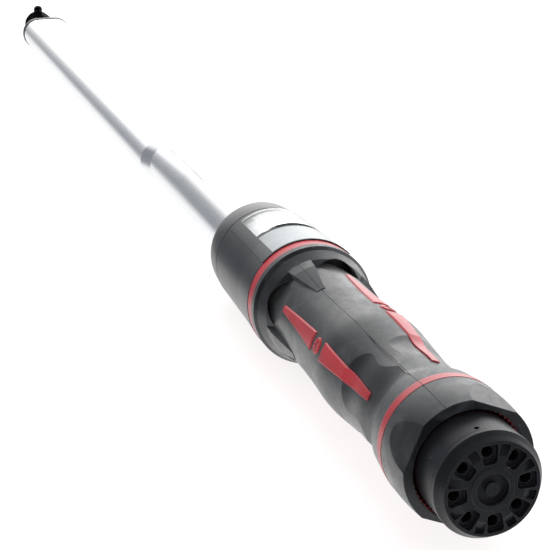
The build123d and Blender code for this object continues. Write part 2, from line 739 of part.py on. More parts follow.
with BuildPart() as grip_sleeve:
    add(grip_form(0.0))
    add(guard_form())
    add(
        turned(
            [
                (MOUTH - 1, 0),
                (MOUTH - 1, MOUTH_R),
                (LOCK_RING_REAR, MOUTH_R),
                (LOCK_RING_REAR, CUP_R + FIT),
                (REAR_RING, CUP_R + FIT),
                (REAR_RING, 2 * GUARD_R),
                (REAR_RING + REAR_RING_WIDTH, 2 * GUARD_R),
                (REAR_RING + REAR_RING_WIDTH, CORE_R + FIT),
                (FLANGE_REAR, CORE_R + FIT),
                (FLANGE_REAR, FLANGE_R + FIT),
                (GUARD_FRONT + 1, FLANGE_R + FIT),
                (GUARD_FRONT + 1, 0),
            ]
        ),
        mode=Mode.SUBTRACT,
    )
    windows = lug_set(FIT, GUARD_R).rotate(Axis.X, FIRST_PANEL)
    for window in round_copies(windows, PANELS):
        add(window, mode=Mode.SUBTRACT)
    for bridge in bridges(0.0):
        add(bridge)

# Red ring with fine serrations, seen in the gap round the knob's skirt
RING_TEETH = 60
RING_TIP_R = 16.6
RING_ROOT_R = 17.2

with BuildPart() as lock_ring:
    with BuildSketch(across(LOCK_RING_REAR)):
        Circle(CUP_R)
        Circle(RING_ROOT_R, mode=Mode.SUBTRACT)
        tooth_foot = RING_ROOT_R + 0.1
        with PolarLocations(0, RING_TEETH):
            add(outline((tooth_foot, -0.75), (RING_TIP_R, 0), (tooth_foot, 0.75)))
    extrude(amount=CUP_REAR - LOCK_RING_REAR)

# Knob: face with pockets and ramps, skirt, hexagon socket and lock teeth inside
FACE = station(-3.7)
FACE_R = 14.6
KNOB_BEVEL = (station(-2.1), 15.45)
FLANGE_EDGE = station(-0.5)
FLANGE_BACK = station(1.7)
KNOB_FLANGE_R = 16.55
SKIRT_R = 16.3
SKIRT_WALL = 1.7
FLOOR_FRONT = station(1.5)
SOCKET_REAR = station(-0.9)
SOCKET_FRONT = station(9.4)
SOCKET_R = 8.4
HUB_RING_R = 6.8
HUB_RING_PROUD = 0.55
RECESS_R = 4.8
RECESS_DEPTH = 1.5
BOSS_R = 2.05
POCKETS = 8
FIRST_POCKET = -51.5
POCKET_INNER = 7.6
POCKET_OUTER = 13.6
POCKET_INNER_HALF = 2.1
POCKET_OUTER_HALF = 2.75
POCKET_CORNER = 1.1
POCKET_DEPTH = 2.1
POCKET_HOLE_R = 1.75
POCKET_HOLE_CENTRE = 10.9
FIRST_RAMP = -29.4
RAMP_INNER = 10.1
RAMP_OUTER = 13.8
RAMP_DEPTH = 1.5
RAMP_WIDTH = 3.0
VENT_X = station(3.1)
VENT_R = 0.75
VENT_DIRECTION = -9.0
TEETH_REAR = BUSH_REAR - 0.5 - LOCK_TRAVEL

with BuildPart() as knob:
    add(
        turned(
            [
                (FACE, 0),
                (FACE, FACE_R),
                KNOB_BEVEL,
                (FLANGE_EDGE, KNOB_FLANGE_R),
                (FLANGE_BACK - 0.7, KNOB_FLANGE_R),
                (FLANGE_BACK, SKIRT_R),
                (SKIRT_FRONT - 0.5, SKIRT_R),
                (SKIRT_FRONT, SKIRT_R - 0.5),
                (SKIRT_FRONT, SKIRT_R - SKIRT_WALL),
                (FLOOR_FRONT, SKIRT_R - SKIRT_WALL),
                (FLOOR_FRONT, SOCKET_R),
                (SOCKET_FRONT, SOCKET_R),
                (SOCKET_FRONT, 0),
            ]
        )
    )
    add(ring(FACE - HUB_RING_PROUD, FACE + 0.1, RECESS_R, HUB_RING_R))
    chamfer(knob.faces().sort_by(Axis.X)[0].edges(), 0.25)
    add(ring(FACE - 1, FACE + RECESS_DEPTH, BOSS_R, RECESS_R), mode=Mode.SUBTRACT)
    # pockets with a hole through the floor of each
    with BuildSketch(across(FACE)) as pockets:
        pocket = outline(
            (POCKET_INNER, -POCKET_INNER_HALF),
            (POCKET_OUTER, -POCKET_OUTER_HALF),
            (POCKET_OUTER, POCKET_OUTER_HALF),
            (POCKET_INNER, POCKET_INNER_HALF),
        )
        with PolarLocations(0, POCKETS, start_angle=FIRST_POCKET):
            add(pocket)
        fillet(pockets.vertices(), POCKET_CORNER)
    extrude(amount=POCKET_DEPTH, mode=Mode.SUBTRACT)
    with BuildSketch(across(FACE)):
        with PolarLocations(POCKET_HOLE_CENTRE, POCKETS, start_angle=FIRST_POCKET):
            Circle(POCKET_HOLE_R)
    extrude(amount=FLOOR_FRONT - FACE, mode=Mode.SUBTRACT)
    for k in range(POCKETS):
        radial = facing(0, FIRST_RAMP + 360.0 * k / POCKETS)
        side = Plane(origin=(0, 0, 0), x_dir=(1, 0, 0), z_dir=-radial.y_dir)
        with BuildSketch(side):
            with BuildLine():
                Polyline(
                    (FACE, RAMP_INNER),
                    (FACE - 1, RAMP_INNER),
                    (FACE - 1, RAMP_OUTER),
                    (FACE + RAMP_DEPTH, RAMP_OUTER),
                    close=True,
                )
            make_face()
        extrude(amount=RAMP_WIDTH / 2, both=True, mode=Mode.SUBTRACT)
    # lock teeth that slide over the bush's teeth when the knob is pushed in
    with BuildSketch(across(TEETH_REAR)):
        Circle(SKIRT_R - SKIRT_WALL + 0.1)
        Circle(LOCK_TIP_R + LOCK_PLAY, mode=Mode.SUBTRACT)
        with PolarLocations(0, LOCK_TEETH, start_angle=180.0 / LOCK_TEETH):
            add(
                lock_tooth(
                    LOCK_ROOT_R + LOCK_PLAY,
                    LOCK_TIP_R + LOCK_PLAY + 0.3,
                    0.7 * LOCK_TOOTH,
                    1.1 * LOCK_TOOTH,
                )
            )
    extrude(amount=LOCK_TRAVEL)
    with BuildSketch(across(SOCKET_REAR)):
        RegularPolygon(HEX_ACROSS / 2 + RUN, 6, major_radius=False)
    extrude(amount=SOCKET_FRONT - SOCKET_REAR, mode=Mode.SUBTRACT)
    for groove_x in (DETENT_X, DETENT_X - LOCK_TRAVEL):
        add(
            ring(groove_x - 0.7, groove_x + 0.7, 0, DETENT_RING_R + DETENT_WIRE_R + RUN),
            mode=Mode.SUBTRACT,
        )
    add(radial_pin(VENT_X, VENT_DIRECTION, SKIRT_R - 2 * SKIRT_WALL, SKIRT_R + 1, VENT_R), mode=Mode.SUBTRACT)

# Scale housing: tapered shell with a raised saddle round the label and the window
HOUSING_REAR_R = 22.0
HOUSING_WAIST = (station(173.4), 21.15)
HOUSING_FRONT_R = 20.05
CAVITY_R = SLEEVE_R + 0.4
LAP_R = CAVITY_R + 1.4
LAP = 4.0
SADDLE_HALF = 47.0
SADDLE_PROUD = 0.35
SADDLE_FRONT = station(203.0)
WINDOW_HALF = 34.0
LEDGE_DEGREES = 1.0
LEDGE = 0.6
WINDOW_REAR = station(180.2)
WINDOW_FRONT = station(201.5)
LENS_SEAT_R = 18.3
LENS_CROWN = 0.85
LENS_AXIS = 2.6
LABEL_REAR = HOUSING_REAR + 0.6
LABEL_FRONT = station(178.0)
LABEL_THICK = 0.9
LABEL_PROUD = 0.05
GROOVE_X = station(205.0)


def housing_r(x):
    """Radius of the housing's outside, which tapers in two stretches."""
    if x < HOUSING_WAIST[0]:
        share = (x - HOUSING_REAR) / (HOUSING_WAIST[0] - HOUSING_REAR)
        return HOUSING_REAR_R + share * (HOUSING_WAIST[1] - HOUSING_REAR_R)
    share = (x - HOUSING_WAIST[0]) / (HOUSING_FRONT - HOUSING_WAIST[0])
    return HOUSING_WAIST[1] + share * (HOUSING_FRONT_R - HOUSING_WAIST[1])


def tapered_panel(rear, front, inner, proud, half):
    """Curved panel over the housing, from an inner radius or depth to a proud outside."""
    corners = [(rear, inner[0]), (front, inner[1]), (front, housing_r(front) + proud)]
    if rear < HOUSING_WAIST[0] < front:
        corners.append((HOUSING_WAIST[0], HOUSING_WAIST[1] + proud))
    corners.append((rear, housing_r(rear) + proud))
    return turned(corners, -half, 2 * half)


label_floor = (
    housing_r(LABEL_REAR) + SADDLE_PROUD + LABEL_PROUD - LABEL_THICK,
    housing_r(LABEL_FRONT) + SADDLE_PROUD + LABEL_PROUD - LABEL_THICK,
)

with BuildPart() as scale_housing:
    add(
        turned(
            [
                (HOUSING_REAR, CAVITY_R),
                (HOUSING_FRONT + LAP, CAVITY_R),
                (HOUSING_FRONT + LAP, LAP_R),
                (HOUSING_FRONT, LAP_R),
                (HOUSING_FRONT, HOUSING_FRONT_R),
                HOUSING_WAIST,
                (HOUSING_REAR, HOUSING_REAR_R),
            ]
        )
    )
    add(tapered_panel(HOUSING_REAR, SADDLE_FRONT, (20.0, 19.5), SADDLE_PROUD, SADDLE_HALF))
    add(
        turned([(GROOVE_X - 0.6, 21), (GROOVE_X, housing_r(GROOVE_X) - 0.5), (GROOVE_X + 0.6, 21)]),
        mode=Mode.SUBTRACT,
    )
    add(
        tapered_panel(LABEL_REAR - FIT, LABEL_FRONT + FIT, label_floor, 2.0, WINDOW_HALF),
        mode=Mode.SUBTRACT,
    )
    add(
        tapered_panel(WINDOW_REAR, WINDOW_FRONT, (LENS_SEAT_R, LENS_SEAT_R), 2.0, WINDOW_HALF),
        mode=Mode.SUBTRACT,
    )
    add(
        tapered_panel(
            WINDOW_REAR + LEDGE,
            WINDOW_FRONT - LEDGE,
            (CAVITY_R - 1, CAVITY_R - 1),
            2.0,
            WINDOW_HALF - LEDGE_DEGREES,
        ),
        mode=Mode.SUBTRACT,
    )

panel_slit = degrees(FIT / HOUSING_REAR_R)

with BuildPart() as label_plate:
    add(
        tapered_panel(
            LABEL_REAR,
            LABEL_FRONT,
            (label_floor[0] + FIT, label_floor[1] + FIT),
            SADDLE_PROUD + LABEL_PROUD,
            WINDOW_HALF - panel_slit,
        )
    )

# The lens is crowned: its outside turns about a line above the handle's axis
lens_crown = turned(
    [
        (WINDOW_REAR, 0),
        (WINDOW_REAR, housing_r(WINDOW_REAR) + LENS_CROWN - LENS_AXIS),
        (WINDOW_FRONT, housing_r(WINDOW_FRONT) + LENS_CROWN - LENS_AXIS),
        (WINDOW_FRONT, 0),
    ]
).moved(Location((0, 0, LENS_AXIS)))

with BuildPart() as window_lens:
    add(
        tapered_panel(
            WINDOW_REAR + FIT,
            WINDOW_FRONT - FIT,
            (LENS_SEAT_R + FIT, LENS_SEAT_R + FIT),
            2.0,
            WINDOW_HALF - panel_slit,
        )
    )
    add(lens_crown, mode=Mode.INTERSECT)

# Collar that closes the housing's front end on the tube
COLLAR_SOCKET_R = LAP_R + FIT
COLLAR_BEND = (COLLAR_FRONT - 5.5, 19.3)
COLLAR_CORNER = (COLLAR_FRONT - 1.6, 18.2)
COLLAR_NOSE_R = 16.0
HOUSING_PIN_HEAD = 17.6

with BuildPart() as housing_collar:
    with BuildSketch(Plane.XZ):
        with BuildLine():
            Polyline(
                (COLLAR_FRONT, COLLAR_NOSE_R),
                (COLLAR_FRONT, TUBE_R + FIT),
                (CAVITY_FRONT, TUBE_R + FIT),
                (CAVITY_FRONT, CAVITY_R),
                (HOUSING_FRONT + LAP, CAVITY_R),
                (HOUSING_FRONT + LAP, COLLAR_SOCKET_R),
                (HOUSING_FRONT, COLLAR_SOCKET_R),
                (HOUSING_FRONT, HOUSING_FRONT_R - 0.1),
            )
            Spline(
                (HOUSING_FRONT, HOUSING_FRONT_R - 0.1),
                COLLAR_BEND,
                COLLAR_CORNER,
                (COLLAR_FRONT, COLLAR_NOSE_R),
                tangents=[(1, -0.05), (0.3, -1)],
            )
        make_face()
    revolve(axis=Axis.X)
    add(
        radial_pin(HOUSING_PIN_X, 180, TUBE_R - 1, 2 * TUBE_R, HOUSING_PIN_R + FIT),
        mode=Mode.SUBTRACT,
    )

with BuildPart() as housing_pin:
    add(radial_pin(HOUSING_PIN_X, 180, TUBE_BORE_R + 0.1, HOUSING_PIN_HEAD, HOUSING_PIN_R))

for name, piece in (
    ("knob", knob),
    ("lock_ring", lock_ring),
    ("handle_core", handle_core),
    ("grip_sleeve", grip_sleeve),
    ("scale_housing", scale_housing),
    ("housing_collar", housing_collar),
    ("window_lens", window_lens),
    ("label_plate", label_plate),
    ("tube", tube),
    ("nose_collar", nose_collar),
    ("lever", lever),
    ("catch_pin", catch_pin),
    ("catch_spring", catch_spring),
    ("pivot_pin", pivot_pin),
    ("toggle_roller", toggle_roller),
    ("plunger", plunger),
    ("main_spring", main_spring),
    ("spring_seat", spring_seat),
    ("load_nut", load_nut),
    ("index_pins", index_pins),
    ("scale_sleeve", scale_sleeve),
    ("adjuster_screw", adjuster_screw),
    ("bush_washer", bush_washer),
    ("screw_washer", screw_washer),
    ("thrust_balls", thrust_balls),
    ("screw_bush", screw_bush),
    ("bush_pins", bush_pins),
    ("detent_ring", detent_ring),
    ("retaining_ring", retaining_ring),
    ("housing_pin", housing_pin),
):
    piece.part.label = name
    export_step(piece.part, "parts/" + name + ".step")
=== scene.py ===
import json
import math

import bmesh
import bpy
from mathutils import Matrix, Vector


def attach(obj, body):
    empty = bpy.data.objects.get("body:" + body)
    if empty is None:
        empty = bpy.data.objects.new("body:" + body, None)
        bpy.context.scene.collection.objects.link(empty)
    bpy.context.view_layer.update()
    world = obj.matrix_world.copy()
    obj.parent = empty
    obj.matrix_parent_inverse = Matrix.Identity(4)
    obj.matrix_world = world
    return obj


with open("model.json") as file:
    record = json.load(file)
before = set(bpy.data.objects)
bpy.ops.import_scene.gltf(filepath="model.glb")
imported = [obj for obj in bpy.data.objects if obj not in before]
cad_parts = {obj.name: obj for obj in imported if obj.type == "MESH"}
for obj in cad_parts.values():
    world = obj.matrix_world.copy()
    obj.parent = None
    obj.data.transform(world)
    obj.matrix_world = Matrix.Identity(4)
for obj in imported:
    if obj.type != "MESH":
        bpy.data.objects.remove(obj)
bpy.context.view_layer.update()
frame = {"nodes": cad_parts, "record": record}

MM = 0.001
REACH = 0.640  # knob flange to the spigot's shoulder, which is the origin
SLEEVE_R = 0.0166  # scale sleeve
FLOOR_GAP = 0.0001  # the floor lies this far under what touches it
LOAD_TRAVEL = 14.0  # mm that the load nut moves from the lowest to the highest torque
PANEL_RIDGES = (-22.5, 157.5)  # degrees round the grip, where the two halves of its mould met


def station(from_knob_mm):
    """X of a place measured forward from the knob's flange."""
    return from_knob_mm * MM - REACH


# Colours and nodes


def hex_colour(code):
    """Linear colour of an sRGB hex value such as 2e3033."""
    parts = [int(code[i:i + 2], 16) / 255 for i in (0, 2, 4)]
    return tuple(c / 12.92 if c <= 0.04045 else ((c + 0.055) / 1.055) ** 2.4 for c in parts) + (1.0,)


def add_node(owner, kind, settings=None, **inputs):
    """Adds one node to a material, world or node group.

    An input is given a value, or linked when it is given another node's output. in3 is the input's number, and
    any other name is the socket's own.
    """
    tree = getattr(owner, "node_tree", None) or owner
    node = tree.nodes.new(kind)
    for name, value in (settings or {}).items():
        setattr(node, name, value)
    for name, value in inputs.items():
        key = int(name[2:]) if name[:2] == "in" and name[2:].isdigit() else name.replace("_", " ")
        if isinstance(value, bpy.types.NodeSocket):
            tree.links.new(value, node.inputs[key])
        else:
            node.inputs[key].default_value = value
    return node


def new_material(name):
    """Empty node material, and the Object coordinates of the piece that wears it."""
    material = bpy.data.materials.new(name)
    material.use_nodes = True
    material.node_tree.nodes.clear()
    place = add_node(material, "ShaderNodeTexCoord").outputs["Object"]
    return material, place


SMOOTH = {"interpolation_type": "SMOOTHSTEP"}
BLEND = {"data_type": "RGBA"}

# Materials


def linted(material, place, colour):
    """The colour with a few pale specks of lint on it, 0.3 mm across and some 15 mm apart."""
    spots = add_node(material, "ShaderNodeTexVoronoi", Vector=place, Scale=1 / (4.0 * MM))
    speck = add_node(
        material, "ShaderNodeMapRange", Value=spots.outputs["Distance"], From_Min=0.045, From_Max=0.03
    )
    return add_node(
        material,
        "ShaderNodeMix",
        BLEND,
        in0=speck.outputs["Result"],
        in6=colour,
        in7=hex_colour("75787d"),
    ).outputs[2]


def grip_rubber():
    """Thermoplastic elastomer moulded over the core.

    Satin grey-black that turns pale at a slant, where skin dust on it shows most, with an eroded grain and
    cloudy smudges where hands rub it.
    """
    material, place = new_material("grip_rubber")
    # smudges about 13 mm across
    dust = add_node(
        material, "ShaderNodeTexNoise", Vector=place, Scale=75.0, Detail=6.0, Roughness=0.62, Distortion=0.7
    )
    dusty = add_node(
        material, "ShaderNodeMapRange", SMOOTH, Value=dust.outputs["Fac"], From_Min=0.49, From_Max=0.72
    )
    colour = add_node(
        material,
        "ShaderNodeMix",
        BLEND,
        in0=dusty.outputs["Result"],
        in6=hex_colour("16191d"),
        in7=hex_colour("3c4045"),
    )
    # skin wears the grain smooth in streaks about 2 mm wide
    rub = add_node(material, "ShaderNodeTexNoise", Vector=place, Scale=520.0, Detail=5.0, Roughness=0.75)
    blend = add_node(
        material,
        "ShaderNodeMath",
        {"operation": "MULTIPLY_ADD"},
        in0=rub.outputs["Fac"],
        in1=0.6,
        in2=dust.outputs["Fac"],
    )
    rough = add_node(
        material,
        "ShaderNodeMapRange",
        Value=blend.outputs["Value"],
        From_Min=0.65,
        From_Max=0.95,
        To_Min=0.28,
        To_Max=0.46,
    )
    # the real grain is about 0.1 mm, drawn at 0.45 mm so that it shows
    grain = add_node(
        material, "ShaderNodeTexNoise", Vector=place, Scale=1 / (0.45 * MM), Detail=3.0, Roughness=0.7
    )
    edges = add_node(material, "ShaderNodeBevel", {"samples": 4}, Radius=0.35 * MM)
    bump = add_node(
        material,
        "ShaderNodeBump",
        Strength=0.35,
        Distance=0.05 * MM,
        Height=grain.outputs["Fac"],
        Normal=edges.outputs["Normal"],
    )
    shader = add_node(
        material,
        "ShaderNodeBsdfPrincipled",
        Base_Color=linted(material, place, colour.outputs[2]),
        Roughness=rough.outputs["Result"],
        Normal=bump.outputs["Normal"],
        IOR=1.6,
        Sheen_Weight=0.25,
        Sheen_Roughness=0.35,
    )
    add_node(material, "ShaderNodeOutputMaterial", Surface=shader.outputs["BSDF"])
    return material


def moulded_plastic(name, deep, pale, edge_wear_and_highlight, roughness, grain_mm, ior=1.5):
    """Injection-moulded glass-filled nylon: even satin colour, spark-eroded grain, edges rubbed paler, partly a
    painted highlight.
    """
    material, place = new_material(name)
    # the melt cools in clouds about 10 mm across
    cloud = add_node(material, "ShaderNodeTexNoise", Vector=place, Scale=95.0, Detail=4.0)
    clouded = add_node(
        material, "ShaderNodeMapRange", SMOOTH, Value=cloud.outputs["Fac"], From_Min=0.35, From_Max=0.7
    )
    body = add_node(
        material,
        "ShaderNodeMix",
        BLEND,
        in0=clouded.outputs["Result"],
        in6=hex_colour(deep),
        in7=hex_colour(pale),
    )
    edges = add_node(material, "ShaderNodeBevel", {"samples": 4}, Radius=0.3 * MM)
    # edges are painted paler, as wear from handling and as a painted highlight along them, where the rounded
    # normal turns away from the true one
    flat = add_node(material, "ShaderNodeNewGeometry")
    turned = add_node(
        material,
        "ShaderNodeVectorMath",
        {"operation": "DOT_PRODUCT"},
        in0=edges.outputs["Normal"],
        in1=flat.outputs["Normal"],
    )
    worn = add_node(
        material, "ShaderNodeMapRange", Value=turned.outputs["Value"], From_Min=0.985, From_Max=0.8
    )
    # the paler edge colour is wear and painted highlight together
    colour = add_node(
        material,
        "ShaderNodeMix",
        BLEND,
        in0=worn.outputs["Result"],
        in6=body.outputs[2],
        in7=hex_colour(edge_wear_and_highlight),
    )
    rough = add_node(
        material,
        "ShaderNodeMapRange",
        Value=cloud.outputs["Fac"],
        To_Min=roughness - 0.06,
        To_Max=roughness + 0.06,
    )
    grain = add_node(
        material, "ShaderNodeTexNoise", Vector=place, Scale=1 / (grain_mm * MM), Detail=2.0
    )
    bump = add_node(
        material,
        "ShaderNodeBump",
        Strength=0.3,
        Distance=0.04 * MM,
        Height=grain.outputs["Fac"],
        Normal=edges.outputs["Normal"],
    )
    shader = add_node(
        material,
        "ShaderNodeBsdfPrincipled",
        Base_Color=linted(material, place, colour.outputs[2]),
        Roughness=rough.outputs["Result"],
        Normal=bump.outputs["Normal"],
        IOR=ior,
    )
    add_node(material, "ShaderNodeOutputMaterial", Surface=shader.outputs["BSDF"])
    return material


def metal(name, deep, pale, roughness, mark_mm, slant="ffffff"):
    """Bare or plated metal with fine drawing or grinding marks along the axis, and its tint at a slant."""
    material, place = new_material(name)
    # each mark is 24 times longer than it is wide
    stretched = add_node(material, "ShaderNodeMapping", Vector=place, Scale=(1.0, 24.0, 24.0))
    marks = add_node(
        material,
        "ShaderNodeTexNoise",
        Vector=stretched.outputs["Vector"],
        Scale=1 / (mark_mm * MM),
        Detail=4.0,
        Roughness=0.6,
    )
    colour = add_node(
        material,
        "ShaderNodeMix",
        BLEND,
        in0=marks.outputs["Fac"],
        in6=hex_colour(deep),
        in7=hex_colour(pale),
    )
    rough = add_node(
        material,
        "ShaderNodeMapRange",
        Value=marks.outputs["Fac"],
        From_Min=0.3,
        From_Max=0.7,
        To_Min=roughness - 0.03,
        To_Max=roughness + 0.03,
    )
    bump = add_node(
        material, "ShaderNodeBump", Strength=0.12, Distance=0.01 * MM, Height=marks.outputs["Fac"]
    )
    shader = add_node(
        material,
        "ShaderNodeBsdfPrincipled",
        Base_Color=colour.outputs[2],
        Metallic=1.0,
        Specular_Tint=hex_colour(slant),
        Roughness=rough.outputs["Result"],
        Normal=bump.outputs["Normal"],
    )
    add_node(material, "ShaderNodeOutputMaterial", Surface=shader.outputs["BSDF"])
    return material


def clear_lens():
    """Clear polycarbonate, polished in the mould, with a hint of handling haze in its gloss."""
    material, place = new_material("clear_polycarbonate")
    haze = add_node(material, "ShaderNodeTexNoise", Vector=place, Scale=160.0, Detail=4.0)
    rough = add_node(
        material, "ShaderNodeMapRange", Value=haze.outputs["Fac"], To_Min=0.01, To_Max=0.09
    )
    shader = add_node(
        material,
        "ShaderNodeBsdfPrincipled",
        Base_Color=hex_colour("fcfdfd"),
        Roughness=rough.outputs["Result"],
        IOR=1.58,
        Transmission_Weight=1.0,
    )
    # light on its way to the scale goes straight through
    path = add_node(material, "ShaderNodeLightPath")
    through = add_node(material, "ShaderNodeBsdfTransparent", Color=hex_colour("fcfdfd"))
    mix = add_node(
        material,
        "ShaderNodeMixShader",
        Fac=path.outputs["Is Shadow Ray"],
        in1=shader.outputs["BSDF"],
        in2=through.outputs["BSDF"],
    )
    add_node(material, "ShaderNodeOutputMaterial", Surface=mix.outputs["Shader"])
    return material


def ink():
    """Pad-printed grey ink of the scale, slightly uneven at this size."""
    material, place = new_material("scale_ink")
    speck = add_node(material, "ShaderNodeTexNoise", Vector=place, Scale=3000.0)
    colour = add_node(
        material,
        "ShaderNodeMix",
        BLEND,
        in0=speck.outputs["Fac"],
        in6=hex_colour("64676a"),
        in7=hex_colour("83868a"),
    )
    shader = add_node(
        material, "ShaderNodeBsdfPrincipled", Base_Color=colour.outputs[2], Roughness=0.45, IOR=1.5
    )
    add_node(material, "ShaderNodeOutputMaterial", Surface=shader.outputs["BSDF"])
    return material


# a moulded plastic's fourth colour, here and for the knob below, paints its edges paler: wear and painted
# highlight
finishes = {
    "grip_rubber": grip_rubber(),
    "red_plastic": moulded_plastic("red_nylon_core", "a8262f", "b8333c", "dd7a80", 0.30, 0.5),
    "black_plastic": moulded_plastic("black_nylon", "1f2125", "26292d", "484b50", 0.3, 0.4, 1.42),
    "plated_tube": metal("satin_chrome_plate", "e6e8ea", "f0f1f2", 0.27, 24.0),
    "black_steel": metal("black_oxide_steel", "26272a", "37383b", 0.34, 6.0, "77777a"),
    "bright_steel": metal("ground_steel", "9a9b9d", "b6b7b9", 0.26, 5.0),
    "spring_steel": metal("oiled_spring_steel", "4c4d51", "66676b", 0.3, 5.0),
    "clear_lens": clear_lens(),
    "silver_plate": moulded_plastic("silver_label_film", "969da0", "a3aaad", "c6cbcd", 0.26, 0.3),
    "scale_silver": moulded_plastic("white_scale_drum", "f1f2f3", "f6f7f7", "fafafa", 0.28, 0.6),
    "bronze": metal("bearing_bronze", "8f6b3c", "a27c48", 0.34, 5.0),
}
knob_nylon = moulded_plastic("knob_nylon", "18191d", "1f2025", "43454b", 0.38, 0.35, 1.4)
scale_ink = ink()

# Carried-over pieces keep their meshes and get their finish
for part in frame["record"]["subparts"]:
    worn = frame["nodes"][part["node"]]
    worn.data.materials.clear()
    worn.data.materials.append(
        knob_nylon if part["node"] == "knob" else finishes[part["material_slot"]]
    )


# Pieces that repeat or follow a surface are grown by node trees, then turned into plain meshes


def new_tree(name, **sockets):
    """Geometry node tree with a geometry output and named inputs of the given socket kinds."""
    tree = bpy.data.node_groups.new(name, "GeometryNodeTree")
    tree.interface.new_socket("Geometry", in_out="OUTPUT", socket_type="NodeSocketGeometry")
    for label, kind in sockets.items():
        tree.interface.new_socket(label.replace("_", " "), in_out="INPUT", socket_type=kind)
    return tree


def grow(name, tree, **values):
    """Runs a tree with the given inputs and returns its result as a plain mesh object."""
    seed = bpy.data.objects.new(name + "_seed", bpy.data.meshes.new(name + "_seed"))
    bpy.context.scene.collection.objects.link(seed)
    modifier = seed.modifiers.new("grow", "NODES")
    modifier.node_group = tree
    for socket in tree.interface.items_tree:
        if socket.in_out == "INPUT":
            modifier[socket.identifier] = values[socket.name.replace(" ", "_")]
    evaluated = seed.evaluated_get(bpy.context.evaluated_depsgraph_get())
    mesh = bpy.data.meshes.new_from_object(evaluated)
    bpy.data.objects.remove(seed)
    mesh.name = name
    thing = bpy.data.objects.new(name, mesh)
    bpy.context.scene.collection.objects.link(thing)
    return thing


def seam_tree():
    """Parting line of the mould: a fine bead laid on the grip along one direction from the axis."""
    tree = new_tree(
        "parting_line",
        Grip="NodeSocketObject",
        Core="NodeSocketObject",
        Away="NodeSocketVector",
        Rear="NodeSocketFloat",
        Length="NodeSocketFloat",
        Width="NodeSocketFloat",
        Finish="NodeSocketMaterial",
    )
    given = add_node(tree, "NodeGroupInput").outputs
    rubber = add_node(tree, "GeometryNodeObjectInfo", Object=given["Grip"])
    core = add_node(tree, "GeometryNodeObjectInfo", Object=given["Core"])
    both = add_node(tree, "GeometryNodeJoinGeometry")
    for shape in (rubber, core):
        tree.links.new(shape.outputs["Geometry"], both.inputs["Geometry"])
    rear = add_node(tree, "ShaderNodeCombineXYZ", X=given["Rear"])
    span = add_node(tree, "ShaderNodeCombineXYZ", X=given["Length"])
    front = add_node(
        tree, "ShaderNodeVectorMath", in0=rear.outputs["Vector"], in1=span.outputs["Vector"]
    )
    line = add_node(
        tree, "GeometryNodeCurvePrimitiveLine", Start=rear.outputs["Vector"], End=front.outputs["Vector"]
    )
    points = add_node(tree, "GeometryNodeResampleCurve", Curve=line.outputs["Curve"], Count=260)
    here = add_node(tree, "GeometryNodeInputPosition")
    outside = add_node(
        tree,
        "ShaderNodeVectorMath",
        {"operation": "MULTIPLY_ADD"},
        in0=given["Away"],
        in1=(0.03, 0.03, 0.03),
        in2=here.outputs["Position"],
    )
    inward = add_node(
        tree, "ShaderNodeVectorMath", {"operation": "SCALE"}, in0=given["Away"], Scale=-1.0
    )
    ray = add_node(
        tree,
        "GeometryNodeRaycast",
        Target_Geometry=both.outputs["Geometry"],
        Source_Position=outside.outputs["Vector"],
        Ray_Direction=inward.outputs["Vector"],
        Ray_Length=0.03,
    )
    laid = add_node(
        tree,
        "GeometryNodeSetPosition",
        Geometry=points.outputs["Curve"],
        Position=ray.outputs["Hit Position"],
    )
    bead = add_node(tree, "GeometryNodeCurvePrimitiveCircle", Resolution=8, Radius=given["Width"])
    swept = add_node(
        tree,
        "GeometryNodeCurveToMesh",
        Curve=laid.outputs["Geometry"],
        Profile_Curve=bead.outputs["Curve"],
        Fill_Caps=True,
    )
    real = add_node(tree, "GeometryNodeRealizeInstances", Geometry=swept.outputs["Mesh"])
    dressed = add_node(
        tree, "GeometryNodeSetMaterial", Geometry=real.outputs["Geometry"], Material=given["Finish"]
    )
    add_node(tree, "NodeGroupOutput", Geometry=dressed.outputs["Geometry"])
    return tree


def ticks_tree():
    """Graduations: short printed arcs round the scale sleeve, repeated along the axis."""
    tree = new_tree(
        "graduations",
        First="NodeSocketFloat",
        Pitch="NodeSocketFloat",
        Count="NodeSocketInt",
        Radius="NodeSocketFloat",
        Start="NodeSocketFloat",
        Sweep="NodeSocketFloat",
        Line="NodeSocketFloat",
        Finish="NodeSocketMaterial",
    )
    given = add_node(tree, "NodeGroupInput").outputs
    arc = add_node(
        tree,
        "GeometryNodeCurveArc",
        Resolution=14,
        Radius=given["Radius"],
        Start_Angle=given["Start"],
        Sweep_Angle=given["Sweep"],
    )
    pen = add_node(
        tree, "GeometryNodeCurvePrimitiveQuadrilateral", Width=given["Line"], Height=given["Line"]
    )
    stroke = add_node(
        tree,
        "GeometryNodeCurveToMesh",
        Curve=arc.outputs["Curve"],
        Profile_Curve=pen.outputs["Curve"],
        Fill_Caps=True,
    )
    first = add_node(tree, "ShaderNodeCombineXYZ", X=given["First"])
    step = add_node(tree, "ShaderNodeCombineXYZ", X=given["Pitch"])
    row = add_node(
        tree,
        "GeometryNodeMeshLine",
        Count=given["Count"],
        Start_Location=first.outputs["Vector"],
        Offset=step.outputs["Vector"],
    )
    # the arc is drawn in its own XY plane, so a quarter turn about Y stands it across the axis
    placed = add_node(
        tree,
        "GeometryNodeInstanceOnPoints",
        Points=row.outputs["Mesh"],
        Instance=stroke.outputs["Mesh"],
        Rotation=(0.0, math.radians(90), 0.0),
    )
    real = add_node(tree, "GeometryNodeRealizeInstances", Geometry=placed.outputs["Instances"])
    dressed = add_node(
        tree, "GeometryNodeSetMaterial", Geometry=real.outputs["Geometry"], Material=given["Finish"]
    )
    add_node(tree, "NodeGroupOutput", Geometry=dressed.outputs["Geometry"])
    return tree


